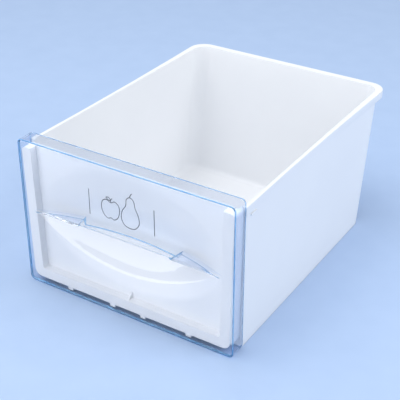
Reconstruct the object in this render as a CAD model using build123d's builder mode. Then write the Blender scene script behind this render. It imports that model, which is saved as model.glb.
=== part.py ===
from build123d import *
import math
import os

# All lengths are millimetres. X runs across the drawer, +Y runs from front to rear and +Z is up.
# The origin lies on the floor plane, midway between the front face and the rear of the rim.

# Clear front cover: a shallow tray, open at the top and at the rear.
cover_width = 240.0
cover_height = 160.0
cover_depth = 18.0
cover_wall = 2.2
cover_low_corner = 5.0
cover_top_corner = 2.5
cover_edge_round = 1.0

# Finger grip of the cover: a dished scoop under a straight lip.
grip_height = 86.0
grip_half_width = 105.5
scoop_drop = 37.5
scoop_depth = 20.5
slot_half_front = 53.0
slot_half_rear = 57.0
slot_step = 5.5
web_thickness = 2.0

# White tub. Its body and its front are one moulding in two solids, which meet face to face.
tub_wall = 2.5
rim_height = 151.0
overall_depth = 319.0
rim_corner = 18.0
rim_face = 8.0
rim_slope = 5.0
side_bow = 2.0
rim_root = 1.0
body_front_inset = 1.4
body_rear_inset = 5.0
floor_front_inset = 2.0
floor_rear = 289.0
body_rear_gap = 5.0
body_corner = 17.0
floor_round = 7.0

# Frame at the front of the tub, which carries the cover.
fit_gap = 0.5
side_gap = 0.6
frame_front = 3.0
frame_bottom = 6.0
frame_lean = 2.4
frame_low_corner = 8.0
frame_top_corner = 4.0
flange_width = 10.7
recess_depth = 8.0
recess_corner = 3.0
front_wall_rise = 15.0
front_wall_inset = 5.2

# Hand room in the front wall, behind the scoop.
dish_low = 24.0
dish_high = 148.0
dish_margin = 4.0
dish_depth = 18.0
dish_round = 14.0

# Small features of the tub.
lug_places = (-70.0, -18.0, 18.0, 70.0)
lug_length = 6.0
lug_drop = 3.0
lug_depth = 4.0
nub_length = 10.0
nub_height = 2.6
nub_start = 28.0
nub_level = 138.0
nub_reach = 1.2
gusset_width = 2.0
gusset_leg = 6.0

# Values worked out from the sizes above.
body_front = cover_depth + fit_gap
wall_plane = frame_front + recess_depth
wall_back = wall_plane + tub_wall
front_wall_top = rim_height + front_wall_rise
rim_half = cover_width / 2
body_front_half = rim_half - body_front_inset
body_rear_half = rim_half - body_rear_inset
floor_front_half = rim_half - floor_front_inset
frame_half_top = rim_half - cover_wall - side_gap
frame_half_low = frame_half_top - frame_lean
front_wall_half = frame_half_top - front_wall_inset
body_rear = overall_depth - body_rear_gap
scoop_rise = (grip_half_width**2 - scoop_drop**2) / (2 * scoop_drop)
scoop_back = (grip_half_width**2 - scoop_depth**2) / (2 * scoop_depth)
scoop_radius = math.sqrt(grip_half_width**2 + scoop_rise**2 + scoop_back**2)
dish_middle = (dish_low + dish_high) / 2
dish_half_height = (dish_high - dish_low) / 2
dish_half_width = (frame_half_low + frame_half_top) / 2 - flange_width - dish_margin
dish_ahead = (dish_half_height**2 - dish_depth**2) / (2 * dish_depth)


def y_at(depth):
    """Y of a place which lies this far behind the front face of the cover."""
    return depth - overall_depth / 2


def plan(half_front, half_rear, front, rear, bow):
    """Outline seen from above: a straight front and rear, and long sides bowed inward."""
    near = y_at(front)
    far = y_at(rear)
    middle = (near + far) / 2
    half_middle = (half_front + half_rear) / 2 - bow
    Line((-half_front, near), (half_front, near))
    ThreePointArc((half_front, near), (half_middle, middle), (half_rear, far))
    Line((half_rear, far), (-half_rear, far))
    ThreePointArc((-half_rear, far), (-half_middle, middle), (-half_front, near))


def side_view(front, rear_low, rear_high, top):
    """Outline seen from the side: an upright front and a leaning rear."""
    Polyline((y_at(front), 0), (y_at(rear_low), 0), (y_at(rear_high), top), (y_at(front), top), close=True)


def side_plane(inset):
    """Plane of the right wall, moved inward by a wall thickness or by nothing."""
    along = Vector(body_rear_half - body_front_half, body_rear - body_front, 0)
    upward = Vector(body_front_half - floor_front_half, 0, rim_height)
    outward = along.cross(upward).normalized()
    corner = Vector(body_front_half, y_at(body_front), rim_height)
    return Plane(origin=corner - outward * inset, z_dir=outward)


def tapered(half_low, half_top, bottom, top):
    """Outline seen from the front, with sides that lean a little."""
    Polyline((-half_low, bottom), (half_low, bottom), (half_top, top), (-half_top, top), close=True)


def barrel_line(half_width, radius_end, radius_middle):
    """Half outline of a barrel which lies along X: a flat axis and a bulging side."""
    Line((-half_width, 0), (half_width, 0))
    Line((half_width, 0), (half_width, radius_end))
    ThreePointArc((half_width, radius_end), (0, radius_middle), (-half_width, radius_end))
    Line((-half_width, radius_end), (-half_width, 0))


# ---------------------------------------------------------------- hand room shapes
dish_centre = (0, y_at(wall_plane - dish_ahead), dish_middle)
dish_plane = Plane(origin=dish_centre, x_dir=(1, 0, 0), z_dir=(0, 0, 1))

with BuildPart() as dish:
    with BuildSketch(dish_plane):
        with BuildLine():
            barrel_line(dish_half_width, dish_ahead, dish_ahead + dish_depth)
        make_face()
    revolve(axis=Axis(dish_centre, (1, 0, 0)))
    split(bisect_by=Plane.XZ.offset(-y_at(wall_plane)), keep=Keep.BOTTOM)

with BuildPart() as bulge:
    with BuildSketch(dish_plane):
        with BuildLine():
            barrel_line(dish_half_width + tub_wall, dish_ahead + tub_wall, dish_ahead + dish_depth + tub_wall)
        make_face()
    revolve(axis=Axis(dish_centre, (1, 0, 0)))
    split(bisect_by=Plane.XZ.offset(-y_at(wall_plane)), keep=Keep.BOTTOM)

# ---------------------------------------------------------------- tub body
with BuildPart() as room:
    # Right half of the inside, then its mirror image.
    with BuildSketch(Plane.YZ):
        with BuildLine():
            side_view(body_front + tub_wall, floor_rear - tub_wall, body_rear - tub_wall, rim_height)
        make_face()
    extrude(amount=rim_half)
    split(bisect_by=side_plane(tub_wall), keep=Keep.BOTTOM)
    split(bisect_by=Plane.XY.offset(tub_wall), keep=Keep.TOP)
    rear_edges = room.edges().filter_by(Axis.Z, tolerance=15).sort_by(Axis.X)[-2:]
    fillet(rear_edges.sort_by(Axis.Y)[-1], radius=body_corner - tub_wall)
    mirror(about=Plane.YZ)
    fillet(room.faces().sort_by(Axis.Z)[0].edges(), radius=floor_round)

with BuildPart() as tub_body:
    # Walls and floor as one solid block, of which the right half is drawn.
    with BuildSketch(Plane.YZ):
        with BuildLine():
            side_view(body_front, floor_rear, body_rear, rim_height)
        make_face()
    extrude(amount=rim_half)
    split(bisect_by=side_plane(0), keep=Keep.BOTTOM)
    rear_edges = tub_body.edges().filter_by(Axis.Z, tolerance=15).sort_by(Axis.X)[-2:]
    fillet(rear_edges.sort_by(Axis.Y)[-1], radius=body_corner)
    mirror(about=Plane.YZ)

    # Overhanging rim: a sloped underside, then an upright outer face.
    with BuildSketch(Plane.XY.offset(rim_height - rim_face - rim_slope)) as under:
        with BuildLine():
            plan(body_front_half - rim_root, body_rear_half - rim_root,
                 body_front, body_rear - 2 * rim_root, side_bow)
        make_face()
        fillet(under.vertices().group_by(Axis.Y)[-1], radius=body_corner)
    with BuildSketch(Plane.XY.offset(rim_height - rim_face)) as lip:
        with BuildLine():
            plan(rim_half, rim_half, body_front, overall_depth, side_bow)
        make_face()
        fillet(lip.vertices().group_by(Axis.Y)[-1], radius=rim_corner)
    loft(ruled=True)
    extrude(lip.sketch, amount=rim_face)
    add(room.part, mode=Mode.SUBTRACT)

    # Way through the step into the frame.
    with BuildSketch(Plane.XZ.offset(-y_at(body_front))) as way:
        with BuildLine():
            tapered(frame_half_low - tub_wall, frame_half_top - tub_wall, frame_bottom + tub_wall, rim_height)
        make_face()
        fillet(way.vertices().group_by(Axis.Y)[0], radius=frame_low_corner - tub_wall)
    extrude(amount=-tub_wall, mode=Mode.SUBTRACT)

    # A nub below the rim at each side.
    with BuildSketch(Plane.YZ.offset(body_front_half - tub_wall / 2)):
        with Locations((y_at(nub_start + nub_length / 2), nub_level + nub_height / 2)):
            SlotOverall(nub_length, nub_height)
    extrude(amount=tub_wall / 2 + nub_reach)
    with BuildSketch(Plane.YZ.offset(tub_wall / 2 - body_front_half)):
        with Locations((y_at(nub_start + nub_length / 2), nub_level + nub_height / 2)):
            SlotOverall(nub_length, nub_height)
    extrude(amount=-tub_wall / 2 - nub_reach)

# ---------------------------------------------------------------- tub front
with BuildPart() as tub_front:
    # Frame block in front of the body.
    with BuildSketch(Plane.XZ.offset(-y_at(frame_front))) as block:
        with BuildLine():
            tapered(frame_half_low, frame_half_top, frame_bottom, rim_height)
        make_face()
        fillet(block.vertices().group_by(Axis.Y)[0], radius=frame_low_corner)
        fillet(block.vertices().group_by(Axis.Y)[-1], radius=frame_top_corner)
    extrude(amount=-(body_front - frame_front))

    # Front wall, which stands higher than the rim.
    with BuildSketch(Plane.XZ.offset(-y_at(wall_plane))):
        with Locations((0, rim_height + front_wall_rise / 2)):
            Rectangle(2 * front_wall_half, front_wall_rise)
    extrude(amount=-tub_wall)

    # Room behind the front wall, and the channel behind the flange.
    with BuildSketch(Plane.XZ.offset(-y_at(wall_back))) as room:
        with BuildLine():
            tapered(frame_half_low - tub_wall, frame_half_top - tub_wall, frame_bottom + tub_wall, rim_height)
        make_face()
        fillet(room.vertices().group_by(Axis.Y)[0], radius=frame_low_corner - tub_wall)
    extrude(amount=-(body_front - wall_back), mode=Mode.SUBTRACT)
    with BuildSketch(Plane.XZ.offset(-y_at(frame_front + tub_wall))) as channel:
        with BuildLine():
            tapered(frame_half_low - tub_wall, frame_half_top - tub_wall,
                    frame_bottom + tub_wall, rim_height - tub_wall)
        make_face()
        fillet(channel.vertices().group_by(Axis.Y)[0], radius=frame_low_corner - tub_wall)
        with BuildLine():
            tapered(frame_half_low - flange_width + tub_wall, frame_half_top - flange_width + tub_wall,
                    frame_bottom + flange_width - tub_wall, rim_height)
        make_face(mode=Mode.SUBTRACT)
    extrude(amount=-(recess_depth + tub_wall), mode=Mode.SUBTRACT)

    # Recess in front of the front wall, open at the top.
    with BuildSketch(Plane.XZ.offset(-y_at(frame_front))) as recess:
        with BuildLine():
            tapered(frame_half_low - flange_width, frame_half_top - flange_width,
                    frame_bottom + flange_width, rim_height)
        make_face()
        fillet(recess.vertices().group_by(Axis.Y)[0], radius=recess_corner)
    extrude(amount=-recess_depth, mode=Mode.SUBTRACT)

    # Hand room pressed rearward into the front wall.
    add(bulge.part)
    add(dish.part, mode=Mode.SUBTRACT)
    dish_rim = (
        tub_front.edges()
        .filter_by_position(Axis.Y, y_at(wall_plane) - 0.01, y_at(wall_plane) + 0.01)
        .filter_by(lambda edge: edge.geom_type != GeomType.LINE)
        .filter_by(lambda edge: edge.length > dish_half_width / 2)
    )
    fillet(dish_rim, radius=dish_round)

    # Lugs under the frame and a gusset at the middle of the recess floor.
    with BuildSketch(Plane.XY.offset(frame_bottom)):
        with Locations(*[(place, y_at(frame_front + lug_depth / 2)) for place in lug_places]):
            Rectangle(lug_length, lug_depth)
    extrude(amount=-lug_drop)
    with BuildSketch(Plane.YZ):
        with BuildLine():
            Polyline(
                (y_at(wall_plane - gusset_leg), frame_bottom + flange_width),
                (y_at(wall_plane), frame_bottom + flange_width),
                (y_at(wall_plane), frame_bottom + flange_width + gusset_leg),
                close=True,
            )
        make_face()
    extrude(amount=gusset_width / 2, both=True)

# ---------------------------------------------------------------- cover
scoop_centre = (0, y_at(-scoop_back), grip_height + scoop_rise)

with BuildPart() as scoop_ball:
    with Locations(scoop_centre):
        Sphere(scoop_radius)
    split(bisect_by=Plane.XY.offset(grip_height), keep=Keep.BOTTOM)

with BuildPart() as scoop_wall:
    with Locations(scoop_centre):
        Sphere(scoop_radius + cover_wall)
    split(bisect_by=Plane.XY.offset(grip_height), keep=Keep.BOTTOM)
    split(bisect_by=Plane.XZ.offset(-y_at(0)), keep=Keep.BOTTOM)

with BuildPart() as webs:
    with BuildSketch(Plane.XY.offset(grip_height - web_thickness)):
        with BuildLine():
            Polyline(
                (slot_half_front, y_at(0)),
                (grip_half_width, y_at(0)),
                (grip_half_width, y_at(scoop_depth)),
                (slot_half_rear, y_at(scoop_depth)),
                close=True,
            )
        make_face()
        mirror(about=Plane.YZ)
    extrude(amount=web_thickness)
    with Locations(scoop_centre):
        Sphere(scoop_radius + cover_wall / 2, mode=Mode.INTERSECT)

with BuildPart() as cover:
    # Tray: a front panel with side and bottom returns.
    with BuildSketch(Plane.XZ.offset(-y_at(0))) as outline:
        with Locations((0, cover_height / 2)):
            Rectangle(cover_width, cover_height)
        fillet(outline.vertices().group_by(Axis.Y)[0], radius=cover_low_corner)
        fillet(outline.vertices().group_by(Axis.Y)[-1], radius=cover_top_corner)
    extrude(amount=-cover_depth)
    fillet(cover.faces().sort_by(Axis.Y)[0].edges(), radius=cover_edge_round)
    with BuildSketch(Plane.XZ.offset(-y_at(cover_wall))) as inside:
        with Locations((0, cover_height / 2 + cover_wall)):
            Rectangle(cover_width - 2 * cover_wall, cover_height)
        fillet(inside.vertices().group_by(Axis.Y)[0], radius=cover_low_corner - cover_wall)
    extrude(amount=-cover_depth, mode=Mode.SUBTRACT)

    # Scoop below the lip: a dished wall which runs back from the front panel.
    add(scoop_wall.part)
    add(scoop_ball.part, mode=Mode.SUBTRACT)

    # Finger slot: the scoop wall stops lower in the middle, and webs close it at both sides.
    with BuildSketch(Plane.XY.offset(grip_height)):
        with BuildLine():
            Polyline(
                (-slot_half_front, y_at(0)),
                (slot_half_front, y_at(0)),
                (slot_half_rear, y_at(scoop_depth + 2 * cover_wall)),
                (-slot_half_rear, y_at(scoop_depth + 2 * cover_wall)),
                close=True,
            )
        make_face()
    extrude(amount=-slot_step, mode=Mode.SUBTRACT)
    add(webs.part)

os.makedirs("parts", exist_ok=True)
tub_body.part.label = "tub_body"
export_step(tub_body.part, "parts/tub_body.step")
tub_front.part.label = "tub_front"
export_step(tub_front.part, "parts/tub_front.step")
cover.part.label = "cover"
export_step(cover.part, "parts/cover.step")
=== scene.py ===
import math

import bmesh
import bpy
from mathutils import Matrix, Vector


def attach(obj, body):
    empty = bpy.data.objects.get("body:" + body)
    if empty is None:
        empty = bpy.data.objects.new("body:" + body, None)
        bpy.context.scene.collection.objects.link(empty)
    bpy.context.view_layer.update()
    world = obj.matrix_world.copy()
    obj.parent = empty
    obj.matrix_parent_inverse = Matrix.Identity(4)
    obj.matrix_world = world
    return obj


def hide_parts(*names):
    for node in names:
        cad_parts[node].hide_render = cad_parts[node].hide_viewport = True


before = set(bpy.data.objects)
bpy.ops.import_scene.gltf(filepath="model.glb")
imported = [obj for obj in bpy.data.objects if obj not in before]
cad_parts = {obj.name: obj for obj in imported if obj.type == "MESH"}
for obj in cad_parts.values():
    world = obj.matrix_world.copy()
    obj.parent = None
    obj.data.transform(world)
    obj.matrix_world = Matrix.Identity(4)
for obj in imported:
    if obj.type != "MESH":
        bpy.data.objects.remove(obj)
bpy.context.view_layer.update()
MM = 0.001

# ------------------------------------------------------------------ sizes, millimetres
# Depths run rearward from the cover's front face, and heights upward from the floor.
FRONT = -159.5             # Y of the cover's front face
COVER_HALF = 120.0         # half of the cover's width
COVER_TOP = 160.0
COVER_DEEP = 18.0          # depth of the returns
COVER_WALL = 2.2
COVER_CORNER = 5.0         # radius of the outline's corners
TURN = 1.0                 # radius of the quarter round from the panel to the returns
RIM_BAND = 0.9             # width of the band along the returns' rear edge that carries the painted blue reflection
RIM_EASE = 0.25            # how far the band narrows the wall on each side
SKIN = 0.05                # room in front of the panel for the print

LIP = 86.0                 # height of the lip over the finger scoop
WEB = 2.0                  # thickness of the webs beside the slot
EDGE = 0.8                 # rounding of the edges at the slot
EDGE_MIDWAY = (0.23, 0.57)  # inset and rise halfway round it
SLOT_HALF = 53.0           # half of the slot's length
SLOT_HEIGHT = 5.5
SLOT_WIDEN = 3.0           # how much further the slot's rear edge reaches at each end
SLOT_SPREAD = 24.0         # how far along the lip this widening dies away
SLOT_FLARE = (55.0, 79.0)  # heights between which it sets in
SLOT_EDGE = LIP - SLOT_HEIGHT - EDGE  # height at which the scoop's rounded edge starts

SCOOP_HALF = 105.5         # half of the scoop's length at the lip
SCOOP_DROP = 37.5          # how far it reaches below the lip
SCOOP_DEEP = 20.5          # its depth at the middle of the lip
SCOOP_LOW = 44.0           # height above which the scoop is at its full depth
SCOOP_FADE = 4.0           # height over which it fades into the panel below that
CREASE = 0.5               # softness of its lower crease
TIP_MARGIN = 1.5           # flat panel starts this far beyond the scoop's ends
TIP_FADE = 3.0             # length over which the scoop fades out there
TIP_STILL = 2.0            # columns nearer than this to the flat panel aren't widened
ROW_SHARE = 0.985          # how close the last row below a web comes to it
NEAR = 0.01                # margin for telling that a point lies on a line

GRID_ACROSS = 2.4          # pitch of the cover's columns
GRID_SCOOP = 1.9           # pitch of its rows below the lip
GRID_PANEL = 6.0           # pitch of its rows above the lip
GRID_CORNER = 1.0          # pitch of rows and columns at the outline's corners
RETURN_STEPS = (6.0, 12.0)  # depths of the rows between a return's two edges

FRONT_WALL_TOP = 152.0     # height of the wall behind the cover
FRONT_WALL = 11.0          # its depth
HAND_HALF = 103.0          # half-width of the hand room that is pressed into this wall
HAND_LOW = 20.0            # heights between which the hand room lies
HAND_HIGH = 151.0
HAND_SHARE = 0.75          # how much of the node's depth shows below the lip
HAND_EASE = 0.38           # how much less of it shows higher up
HAND_FADE = 32.0           # height over which it lessens

PRINT_GAP = 0.005          # room in front of the print and behind it
PRINT_LINE = 0.75          # width of its lines


# ------------------------------------------------------------------ node materials
class Nodes:
    """Short way to add and link shader nodes."""

    def __init__(self, name):
        self.material = bpy.data.materials.new(name)
        self.material.use_nodes = True
        self.tree = self.material.node_tree
        self.tree.nodes.clear()
        self.out = self.add("ShaderNodeOutputMaterial")

    def add(self, kind, **values):
        node = self.tree.nodes.new(kind)
        for key, value in values.items():
            setattr(node, key, value)
        return node

    def link(self, source, target):
        self.tree.links.new(source, target)

    def surface(self, **values):
        """A Principled shader with the given values on its sockets."""
        node = self.add("ShaderNodeBsdfPrincipled")
        for key, value in values.items():
            node.inputs[key.replace("_", " ")].default_value = value
        self.link(node.outputs[0], self.out.inputs["Surface"])
        return node

    def noise(self, scale, detail, rough):
        """A cloudy value that is fixed to the object."""
        coordinates = self.add("ShaderNodeTexCoord")
        node = self.add("ShaderNodeTexNoise")
        node.inputs["Scale"].default_value = scale
        node.inputs["Detail"].default_value = detail
        node.inputs["Roughness"].default_value = rough
        self.link(coordinates.outputs["Object"], node.inputs["Vector"])
        return node.outputs["Fac"]

    def two_tone(self, source, low, high, target):
        """A colour that drifts between two close tones."""
        node = self.add("ShaderNodeValToRGB")
        for element, position, colour in zip(node.color_ramp.elements, (0.3, 0.7), (low, high)):
            element.position = position
            element.color = (*colour, 1)
        self.link(source, node.inputs["Fac"])
        self.link(node.outputs["Color"], target)

    def spread(self, source, low, high, target):
        """A value that drifts between two others."""
        node = self.add("ShaderNodeMapRange")
        node.inputs["To Min"].default_value = low
        node.inputs["To Max"].default_value = high
        self.link(source, node.inputs["Value"])
        self.link(node.outputs[0], target)

    def bump(self, height, strength, distance, target):
        """Fine relief on the surface."""
        node = self.add("ShaderNodeBump")
        node.inputs["Strength"].default_value = strength
        node.inputs["Distance"].default_value = distance
        self.link(height, node.inputs["Height"])
        self.link(node.outputs[0], target)
        return node

    def let_light_through(self, shader, tint):
        """Shadow rays pass the surface with a tint, so what lies behind it is lit."""
        path = self.add("ShaderNodeLightPath")
        clear = self.add("ShaderNodeBsdfTransparent")
        clear.inputs["Color"].default_value = (*tint, 1)
        mix = self.add("ShaderNodeMixShader")
        self.link(path.outputs["Is Shadow Ray"], mix.inputs["Fac"])
        self.link(shader.outputs[0], mix.inputs[1])
        self.link(clear.outputs[0], mix.inputs[2])
        self.link(mix.outputs[0], self.out.inputs["Surface"])


def white_plastic():
    """Moulded white plastic: a soft sheen, faint mottling, a very fine skin and eased edges."""
    nodes = Nodes("white_plastic")
    surface = nodes.surface(IOR=1.5, Subsurface_Weight=0.12, Subsurface_Scale=0.01,
                            Subsurface_Radius=(1.0, 1.0, 1.0))
    cloud = nodes.noise(9.0, 3.0, 0.55)
    nodes.two_tone(cloud, (0.88, 0.885, 0.90), (0.905, 0.91, 0.92), surface.inputs["Base Color"])
    nodes.spread(cloud, 0.36, 0.46, surface.inputs["Roughness"])
    grain = nodes.noise(1400.0, 2.0, 0.6)
    skin = nodes.bump(grain, 0.06, 0.0002, surface.inputs["Normal"])
    eased = nodes.add("ShaderNodeBevel", samples=6)
    eased.inputs["Radius"].default_value = 0.0008
    nodes.link(eased.outputs[0], skin.inputs["Normal"])
    return nodes.material


def clear_plastic(name, low, high, behind):
    """Clear moulded plastic with a faint body colour and a slightly wavy surface."""
    nodes = Nodes(name)
    surface = nodes.surface(IOR=1.12, Transmission_Weight=1.0, Coat_Weight=1.0, Coat_Roughness=0.03,
                            Coat_IOR=1.49)
    wave = nodes.noise(14.0, 1.0, 0.4)
    nodes.two_tone(wave, low, high, surface.inputs["Base Color"])
    nodes.spread(wave, 0.012, 0.02, surface.inputs["Roughness"])
    nodes.bump(wave, 0.04, 0.001, surface.inputs["Normal"])
    nodes.let_light_through(surface, behind)
    return nodes.material


def painted_blue_edge():
    """The same plastic at its edges, painted a stronger blue: a painted reflection of the blue backdrop in
    the edges.
    """
    nodes = Nodes("painted_blue_edge")
    surface = nodes.surface(IOR=1.3, Transmission_Weight=0.55)
    streak = nodes.noise(60.0, 2.0, 0.5)
    # painted reflection: the blue backdrop as the cover's edges would show it
    nodes.two_tone(streak, (0.16, 0.42, 0.78), (0.36, 0.64, 0.92), surface.inputs["Base Color"])
    nodes.spread(streak, 0.12, 0.22, surface.inputs["Roughness"])
    nodes.let_light_through(surface, (0.85, 0.93, 0.99))
    return nodes.material


def print_ink():
    """Dark grey screen print with a slightly uneven film."""
    nodes = Nodes("print_ink")
    surface = nodes.surface(IOR=1.5)
    film = nodes.noise(900.0, 2.0, 0.6)
    nodes.two_tone(film, (0.02, 0.022, 0.035), (0.035, 0.038, 0.055), surface.inputs["Base Color"])
    nodes.spread(film, 0.45, 0.6, surface.inputs["Roughness"])
    return nodes.material


def floor_paper():
    """Pale blue studio paper."""
    nodes = Nodes("floor_paper")
    surface = nodes.surface(Roughness=0.7)
    fibre = nodes.noise(30.0, 3.0, 0.5)
    nodes.two_tone(fibre, (0.45, 0.58, 0.80), (0.47, 0.60, 0.82), surface.inputs["Base Color"])
    return nodes.material


# ------------------------------------------------------------------ shared helpers
def fade(value, low, high):
    """Runs smoothly from 0 at the low mark to 1 at the high one."""
    t = min(max((value - low) / (high - low), 0.0), 1.0)
    return t * t * (3 - 2 * t)


def place(x, deep, z):
    """A point given in millimetres, with its depth behind the cover's front face."""
    return Vector((x * MM, (FRONT + deep) * MM, z * MM))


def new_object(name, data):
    """An object in the scene that shows the given data."""
    thing = bpy.data.objects.new(name, data)
    bpy.context.scene.collection.objects.link(thing)
    return thing


def smooth_piece(name, mesh, bm, sharp_angle, weight):
    """An object with smooth faces and weighted normals, which stays sharp beyond an angle."""
    for face in bm.faces:
        face.smooth = True
    bm.to_mesh(mesh)
    bm.free()
    mesh.set_sharp_from_angle(angle=math.radians(sharp_angle))
    piece = new_object(name, mesh)
    even = piece.modifiers.new("even", "WEIGHTED_NORMAL")
    even.keep_sharp = True
    even.weight = weight
    return piece


# ------------------------------------------------------------------ tub
def cut_level(bm, top):
    """Cuts the shape off at a height and closes it there."""
    every = bm.verts[:] + bm.edges[:] + bm.faces[:]
    cut = bmesh.ops.bisect_plane(bm, geom=every, dist=1e-6, plane_co=(0, 0, top * MM),
                                 plane_no=(0, 0, 1), clear_outer=True)
    rim = [part for part in cut["geom_cut"] if isinstance(part, bmesh.types.BMEdge)]
    bmesh.ops.holes_fill(bm, edges=rim)


def ease_hand_room(bm):
    """Makes the hand room in the front wall shallower, most of all above the lip."""
    for vert in bm.verts:
        x, deep, z = abs(vert.co.x) / MM, vert.co.y / MM - FRONT, vert.co.z / MM
        if x < HAND_HALF and HAND_LOW < z < HAND_HIGH and deep > FRONT_WALL + NEAR:
            share = HAND_SHARE - HAND_EASE * fade(z, LIP, LIP + HAND_FADE)
            vert.co.y = (FRONT + FRONT_WALL + (deep - FRONT_WALL) * share) * MM


def moulded(node, name, top=None):
    """The node's shape in white plastic, cut level at a height where one is given."""
    bm = bmesh.new()
    bm.from_mesh(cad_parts[node].data)
    bmesh.ops.transform(bm, matrix=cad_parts[node].matrix_world, verts=bm.verts)
    bmesh.ops.remove_doubles(bm, verts=bm.verts, dist=1e-6)
    if top:
        cut_level(bm, top)
        ease_hand_room(bm)
    bmesh.ops.dissolve_limit(bm, angle_limit=math.radians(0.6), verts=bm.verts, edges=bm.edges)
    piece = smooth_piece(name, bpy.data.meshes.new(name), bm, sharp_angle=35, weight=50)
    piece.data.materials.append(WHITE)
    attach(piece, "tub")
    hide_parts(node)


WHITE = white_plastic()
moulded("tub_body", "tub_shell")
moulded("tub_front", "tub_face", top=FRONT_WALL_TOP)


# ------------------------------------------------------------------ clear cover
# The scoop is the part of a ball that reaches through the panel below the lip.
SCOOP_RISE = (SCOOP_HALF**2 - SCOOP_DROP**2) / (2 * SCOOP_DROP)
SCOOP_BACK = (SCOOP_HALF**2 - SCOOP_DEEP**2) / (2 * SCOOP_DEEP)
SCOOP_RADIUS = math.sqrt(SCOOP_HALF**2 + SCOOP_RISE**2 + SCOOP_BACK**2)
TIP = SCOOP_HALF + TIP_MARGIN      # beyond this the panel is flat
MIDDLE = COVER_TOP / 2
PANEL_HALF = COVER_HALF - TURN
PANEL_CORNER = COVER_CORNER - TURN
CORNER_X = COVER_HALF - COVER_CORNER  # centres of the outline's corners, from the cover's middle
CORNER_Z = MIDDLE - COVER_CORNER
CLEAR, BLUE_REFLECTION, PALE_BLUE_REFLECTION = range(3)     # the cover's materials, by slot


def ball(x, z, radius):
    """Depth of the rear side of a ball around the scoop's centre."""
    return math.sqrt(max(radius**2 - x**2 - (z - LIP - SCOOP_RISE) ** 2, 0.0)) - SCOOP_BACK


def scoop(x, z):
    """Depth of the scoop's surface, which runs softly into the flat panel."""
    raw = ball(x, z, SCOOP_RADIUS)
    soft = (raw + math.sqrt(raw * raw + CREASE * CREASE)) / 2
    return soft * (1 - fade(abs(x), TIP - TIP_FADE, TIP)) * fade(z, SCOOP_LOW - SCOOP_FADE, SCOOP_LOW)


def slopes(x, z, reach=0.05):
    """How steeply the scoop deepens along x and along z."""
    return ((scoop(x + reach, z) - scoop(x - reach, z)) / (2 * reach),
            (scoop(x, z + reach) - scoop(x, z - reach)) / (2 * reach))


def in_slot(x):
    """Whether a column runs into the slot."""
    return abs(x) < SLOT_HALF - NEAR


def widened(x, share=1.0):
    """Moves a column outward near the slot's ends, by a share of the slot's widening."""
    if abs(x) > TIP - TIP_STILL or x == 0:
        return x
    near = math.exp(-(((abs(x) - SLOT_HALF) / SLOT_SPREAD) ** 2))
    return x + math.copysign(SLOT_WIDEN * share * near, x)


def steps(marks, pitch):
    """Numbers from mark to mark, spaced at about the pitch."""
    out = [marks[0]]
    for low, high in zip(marks, marks[1:]):
        count = max(1, round((high - low) / pitch))
        out += [low + (high - low) * k / count for k in range(1, count + 1)]
    return out


def corner(x, z):
    """Draws the panel's grid in to its rounded corners."""
    up = z - MIDDLE
    a, b = (abs(x) - CORNER_X) / PANEL_CORNER, (abs(up) - CORNER_Z) / PANEL_CORNER
    if a <= 0 or b <= 0:
        return x, z
    return (math.copysign(CORNER_X + PANEL_CORNER * a * math.sqrt(1 - b * b / 2), x),
            MIDDLE + math.copysign(CORNER_Z + PANEL_CORNER * b * math.sqrt(1 - a * a / 2), up))


class Skins:
    """Matching points on the cover's outer and inner skin."""

    def __init__(self):
        self.outer = []
        self.inner = []

    def add(self, front, back):
        """Adds a pair of points and returns its number."""
        self.outer.append(place(*front))
        self.inner.append(place(*back))
        return len(self.outer) - 1


def scoop_row(skins, columns, z):
    """A row of the panel below the lip, with the scoop."""
    row = []
    for x in columns:
        level = z
        if z > SCOOP_LOW and not in_slot(x):
            stretch = (LIP - WEB - SCOOP_LOW) / (SLOT_EDGE - SCOOP_LOW) * ROW_SHARE
            level = SCOOP_LOW + (z - SCOOP_LOW) * stretch
        px, pz = corner(widened(x, fade(z, *SLOT_FLARE)), level)
        deep = scoop(px, pz)
        gx, gz = slopes(px, pz)
        wall = COVER_WALL / math.sqrt(1 + gx * gx + gz * gz)
        row.append(skins.add((px, SKIN + deep, pz), (px - gx * wall, deep + wall, pz - gz * wall)))
    return row


def slot_row(skins, columns, inset, up):
    """A row round the scoop's free edge at the slot, and along the webs' rear edge beside it."""
    row = []
    for x in columns:
        wide = widened(x)
        if in_slot(x):
            z = SLOT_EDGE + up
            deep = scoop(wide, z)
            gz = slopes(wide, z)[1]
            size = math.sqrt(1 + gz * gz)
            near, far = inset / size, (COVER_WALL - inset) / size
            row.append(skins.add((wide, SKIN + deep + near, z - gz * near), (wide, deep + far, z - gz * far)))
        else:
            z = LIP - WEB
            back = COVER_WALL
            if abs(x) < TIP - NEAR:
                back = max(ball(wide, LIP, SCOOP_RADIUS + COVER_WALL), COVER_WALL)
            row.append(skins.add((wide, SKIN + scoop(wide, z), z), (wide, back, LIP)))
    return row


def lip_row(skins, columns, deep, up):
    """A row round the lip over the slot, and along the webs' front edge beside it."""
    row = []
    for x in columns:
        if in_slot(x):
            row.append(skins.add((x, SKIN + deep, LIP + up), (x, COVER_WALL - deep, LIP + up)))
        else:
            keep = 1 - fade(abs(x), TIP - TIP_FADE, TIP)
            row.append(skins.add((x, SKIN + deep * keep, LIP - WEB + up), (x, COVER_WALL, LIP + up)))
    return row


def flat_row(skins, columns, z):
    """A row of the flat panel above the lip."""
    points = [corner(x, z) for x in columns]
    return [skins.add((px, SKIN, pz), (px, COVER_WALL, pz)) for px, pz in points]


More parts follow.
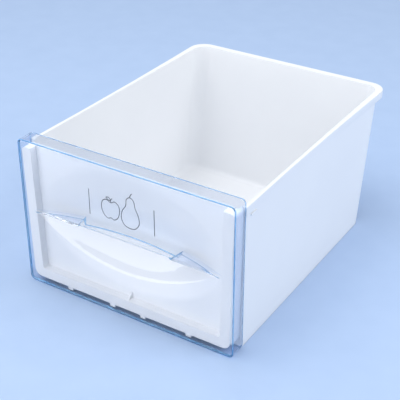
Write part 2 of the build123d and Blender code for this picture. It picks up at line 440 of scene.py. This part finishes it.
def panel_faces(rows, columns, hinge):
    """The panel's faces and their materials: a pale painted blue reflection on the webs beside the slot, and
    the stronger painted blue reflection on the edges round the slot and lip.
    """
    faces, kinds = [], []
    for j, (one, two) in enumerate(zip(rows, rows[1:])):
        for i, (left, right) in enumerate(zip(columns, columns[1:])):
            middle = (left + right) / 2
            if j == hinge and abs(middle) < SLOT_HALF:
                continue
            kind = CLEAR
            if j == hinge:
                kind = PALE_BLUE_REFLECTION
            elif j in (hinge - 2, hinge - 1, hinge + 1) and abs(middle) < TIP - TIP_FADE:
                kind = BLUE_REFLECTION
            faces.append((one[i], one[i + 1], two[i + 1], two[i]))
            kinds.append(kind)
    return faces, kinds


def outward(point):
    """The place across and up of a point on the panel's outline, and its direction outward."""
    x, up = point.x / MM, point.z / MM - MIDDLE
    sx, sz = (1 if x > 0 else -1), (1 if up > 0 else -1)
    if abs(x) > CORNER_X and abs(up) > CORNER_Z:
        n = Vector((abs(x) - CORNER_X, abs(up) - CORNER_Z)).normalized()
        return sx * (CORNER_X + n.x * PANEL_CORNER), sz * (CORNER_Z + n.y * PANEL_CORNER), sx * n.x, sz * n.y
    if abs(x) > PANEL_HALF - NEAR:
        return sx * PANEL_HALF, up, sx, 0.0
    return x, sz * (MIDDLE - TURN), 0.0, sz


def add_returns(skins, edge):
    """Faces of the returns on all four sides: a quarter round, then a straight wall to the rear."""
    inside = TURN - COVER_WALL
    angles = [math.radians(a) for a in (22.5, 45, 67.5, 90)]
    profile = [(TURN * math.sin(a), inside, TURN * (1 - math.cos(a))) for a in angles]
    profile += [(TURN, inside, deep) for deep in (*RETURN_STEPS, COVER_DEEP - RIM_BAND)]
    profile.append((TURN - RIM_EASE, inside + RIM_EASE, COVER_DEEP))
    starts = [outward(skins.outer[v]) for v in edge]
    rings = [edge]
    for out, back, deep in profile:
        ring = [skins.add((x + nx * out, max(deep, SKIN), up + MIDDLE + nz * out),
                          (x + nx * back, max(deep, COVER_WALL), up + MIDDLE + nz * back))
                for x, up, nx, nz in starts[:-1]]
        rings.append(ring + ring[:1])
    # The panel's own edge meets the inner faces of the returns.
    for v, (x, up, nx, nz) in zip(edge, starts):
        skins.inner[v] = place(x + nx * inside, COVER_WALL, up + MIDDLE + nz * inside)

    faces, kinds = [], []
    # painted reflection: the quarter round and the rear band get the strong blue, the straight walls between
    # them the paler blue
    for number, (one, two) in enumerate(zip(rings, rings[1:])):
        at_edge = number < len(angles) or number == len(profile) - 1
        for i in range(len(edge) - 1):
            faces.append((one[i], one[i + 1], two[i + 1], two[i]))
            kinds.append(BLUE_REFLECTION if at_edge else PALE_BLUE_REFLECTION)
    return faces, kinds


def shell_mesh(skins, faces, kinds):
    """Mesh of both skins, joined by a rim along every free edge that carries the painted blue reflection."""
    shift = len(skins.outer)
    sides = {side: None for face in faces for side in zip(face, face[1:] + face[:1])}
    rim = [(b, a, a + shift, b + shift) for a, b in sides if (b, a) not in sides]
    inner_faces = [tuple(v + shift for v in reversed(face)) for face in faces]
    inner_kinds = [CLEAR if kind == BLUE_REFLECTION else kind for kind in kinds]
    mesh = bpy.data.meshes.new("clear_cover")
    mesh.from_pydata(skins.outer + skins.inner, [], faces + inner_faces + rim)
    for polygon, kind in zip(mesh.polygons, kinds + inner_kinds + [BLUE_REFLECTION] * len(rim)):
        polygon.material_index = kind
    return mesh


def cover_materials():
    """The cover's materials, in the order of CLEAR, BLUE_REFLECTION and PALE_BLUE_REFLECTION."""
    clear = clear_plastic("clear_plastic", (0.945, 0.95, 0.96), (0.955, 0.96, 0.97), (0.90, 0.90, 0.915))
    # painted reflection: a paler blue that stands in for the blue floor seen in the returns and the webs
    pale_blue_reflection = clear_plastic("clear_painted_blue_reflection", (0.80, 0.85, 0.94), (0.84, 0.88, 0.96), (0.85, 0.88, 0.94))
    return clear, painted_blue_edge(), pale_blue_reflection


def build_cover():
    """Clear tray with two skins: the panel with its scoop, slot and webs, and four returns."""
    skins = Skins()
    across = steps([0, SLOT_HALF, TIP, PANEL_HALF - PANEL_CORNER], GRID_ACROSS)
    right = across + steps([PANEL_HALF - PANEL_CORNER, PANEL_HALF], GRID_CORNER)[1:]
    columns = [-x for x in reversed(right[1:])] + right
    low = steps([TURN, COVER_CORNER], GRID_CORNER)
    low += steps([COVER_CORNER, SCOOP_LOW, SLOT_EDGE], GRID_SCOOP)[1:]
    high = steps([LIP + EDGE, COVER_TOP - COVER_CORNER], GRID_PANEL)[1:]
    high += steps([COVER_TOP - COVER_CORNER, COVER_TOP - TURN], GRID_CORNER)[1:]
    ease = EDGE_MIDWAY[0]

    rows = [scoop_row(skins, columns, z) for z in low]
    rows += [slot_row(skins, columns, inset, up) for inset, up in (EDGE_MIDWAY, (EDGE, EDGE))]
    hinge = len(rows) - 1
    rows += [lip_row(skins, columns, deep, up) for deep, up in ((EDGE, 0.0), (ease, ease), (0.0, EDGE))]
    rows += [flat_row(skins, columns, z) for z in high]

    edge = [row[0] for row in reversed(rows)] + rows[0][1:-1]
    edge += [row[-1] for row in rows] + rows[-1][-2:0:-1]
    faces, kinds = panel_faces(rows, columns, hinge)
    more_faces, more_kinds = add_returns(skins, edge + edge[:1])
    mesh = shell_mesh(skins, faces + more_faces, kinds + more_kinds)

    bm = bmesh.new()
    bm.from_mesh(mesh)
    bmesh.ops.remove_doubles(bm, verts=bm.verts, dist=2e-5)
    bmesh.ops.dissolve_degenerate(bm, edges=bm.edges, dist=1e-6)
    bmesh.ops.recalc_face_normals(bm, faces=bm.faces)
    piece = smooth_piece("clear_cover", mesh, bm, sharp_angle=50, weight=80)
    for material in cover_materials():
        mesh.materials.append(material)
    return piece


cover = build_cover()
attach(cover, "cover")
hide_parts("cover")


# ------------------------------------------------------------------ print on the cover
# The common symbol for a fruit compartment. Points are (x, z) on the cover, in millimetres.
APPLE = [(-11.6, 123.7), (-7.2, 125.8), (-3.0, 123.2), (-1.9, 116.8), (-4.1, 109.7), (-8.5, 106.3),
         (-12.0, 107.6), (-15.7, 106.3), (-20.3, 109.9), (-22.4, 116.5), (-21.0, 123.1), (-16.4, 125.8)]
APPLE_STEM = [(-11.7, 123.7), (-11.4, 126.4), (-10.0, 128.6)]
APPLE_LEAF = [(-11.2, 126.2), (-13.6, 128.6), (-16.6, 128.2), (-14.6, 126.2), (-11.6, 125.8)]
PEAR = [(10.3, 135.7), (14.4, 133.0), (15.8, 126.1), (18.9, 119.3), (19.9, 111.3), (16.0, 104.9),
        (9.6, 103.1), (3.2, 105.1), (0.0, 111.3), (1.2, 119.3), (5.3, 125.9), (6.4, 132.7)]
PEAR_STEM = [(10.2, 135.6), (10.8, 138.0), (12.6, 140.4)]
BARS = [[(x, 104.0), (x, 131.0)] for x in (-36.5, 36.5)]


def smooth_line(points, closed, count=14):
    """Points along a smooth curve (Catmull-Rom) through the given ones."""
    n = len(points)
    out = []
    for i in range(n if closed else n - 1):
        p = [Vector(points[(i + k) % n if closed else min(max(i + k, 0), n - 1)]) for k in (-1, 0, 1, 2)]
        for s in range(count):
            t = s / count
            out.append(0.5 * ((2 * p[1]) + (p[2] - p[0]) * t + (2 * p[0] - 5 * p[1] + 4 * p[2] - p[3]) * t * t
                              + (3 * p[1] - p[0] - 3 * p[2] + p[3]) * t**3))
    if not closed:
        out.append(Vector(points[-1]))
    return out


def ribbon(bm, line, closed):
    """A thin printed line: a front, a back and two sides along a flat path."""
    n = len(line)
    front, back = PRINT_GAP, SKIN - PRINT_GAP
    rings = []
    for i, point in enumerate(line):
        before = line[(i - 1) % n] if closed or i else line[0]
        after = line[(i + 1) % n] if closed or i < n - 1 else line[-1]
        way = (after - before).normalized()
        side = Vector((-way.y, way.x)) * PRINT_LINE / 2
        ring = []
        for sign, deep in ((1, front), (-1, front), (-1, back), (1, back)):
            spot = point + side * sign
            ring.append(bm.verts.new(place(spot.x, deep, spot.y)))
        rings.append(ring)
    pairs = list(zip(rings, rings[1:])) + ([(rings[-1], rings[0])] if closed else [])
    for one, two in pairs:
        for k in range(4):
            bm.faces.new((one[k], two[k], two[(k + 1) % 4], one[(k + 1) % 4]))
    if not closed:
        bm.faces.new(rings[0])
        bm.faces.new(list(reversed(rings[-1])))


def build_print():
    """All the printed lines as one thin mesh."""
    bm = bmesh.new()
    for points in (APPLE, PEAR):
        ribbon(bm, smooth_line(points, closed=True), closed=True)
    for points in (APPLE_STEM, APPLE_LEAF, PEAR_STEM, *BARS):
        ribbon(bm, smooth_line(points, closed=False), closed=False)
    bmesh.ops.recalc_face_normals(bm, faces=bm.faces)
    mesh = bpy.data.meshes.new("cover_print")
    bm.to_mesh(mesh)
    bm.free()
    mesh.materials.append(print_ink())
    return new_object("cover_print", mesh)


cover_print = build_print()
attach(cover_print, "cover")


# ------------------------------------------------------------------ floor, lights, camera
# Sizes and places here are in metres.
def add_floor(size, height):
    """A square sheet around the origin."""
    half = size / 2
    mesh = bpy.data.meshes.new("floor")
    corners = [(-half, -half, 0), (half, -half, 0), (half, half, 0), (-half, half, 0)]
    mesh.from_pydata(corners, [], [(0, 1, 2, 3)])
    mesh.materials.append(floor_paper())
    sheet = new_object("floor", mesh)
    sheet.location = (0, 0, height)


def area_light(name, spot, target, size, power, colour=(1, 1, 1), shape="RECTANGLE"):
    """A soft lamp that points from its spot to a target and that the camera doesn't see."""
    data = bpy.data.lights.new(name, "AREA")
    data.shape = shape
    data.size, data.size_y = size
    data.energy = power
    data.color = colour
    lamp = new_object(name, data)
    lamp.location = spot
    lamp.rotation_mode = "QUATERNION"
    lamp.rotation_quaternion = (Vector(target) - Vector(spot)).to_track_quat("-Z", "Y")
    lamp.visible_camera = False


def add_world():
    """Pale light from all around."""
    world = bpy.data.worlds.new("studio")
    world.use_nodes = True
    background = world.node_tree.nodes["Background"]
    background.inputs["Color"].default_value = (0.80, 0.86, 0.95, 1)
    background.inputs["Strength"].default_value = 0.72
    bpy.context.scene.world = world


# The camera was fitted to the drawer's corners in the photograph.
PHOTO_WIDTH = 400.0        # pixels
FOCAL_LENGTH = 992.0       # pixels
SENSOR = 36.0              # millimetres
AZIMUTH, ELEVATION = math.radians(32.53), math.radians(30.43)
CAMERA_SPOT = (0.4742, -0.7701, 0.5825)


def add_camera():
    """The camera at the photograph's place and angle."""
    data = bpy.data.cameras.new("camera")
    data.sensor_width = SENSOR
    data.lens = FOCAL_LENGTH / PHOTO_WIDTH * SENSOR
    data.clip_start, data.clip_end = 0.05, 20
    camera = new_object("camera", data)
    back = Vector((math.sin(AZIMUTH) * math.cos(ELEVATION),
                   -math.cos(AZIMUTH) * math.cos(ELEVATION),
                   math.sin(ELEVATION)))
    camera.location = CAMERA_SPOT
    camera.rotation_mode = "QUATERNION"
    camera.rotation_quaternion = (-back).to_track_quat("-Z", "Y")
    bpy.context.scene.camera = camera


add_floor(size=6, height=-0.0003)
area_light("front_box", (-0.6, -1.45, 0.10), (-0.6, 0, 0.10), (2.0, 0.92), 7.5, shape="ELLIPSE")
area_light("key", (-0.45, -0.35, 1.5), (0, 0, 0.08), (1.4, 1.4), 12.5)
area_light("fill", (1.3, 0.3, 1.2), (0, 0, 0.1), (1.0, 1.0), 9.5, (0.97, 0.985, 1.0))
add_world()
bpy.context.scene.view_settings.view_transform = "Standard"
add_camera()
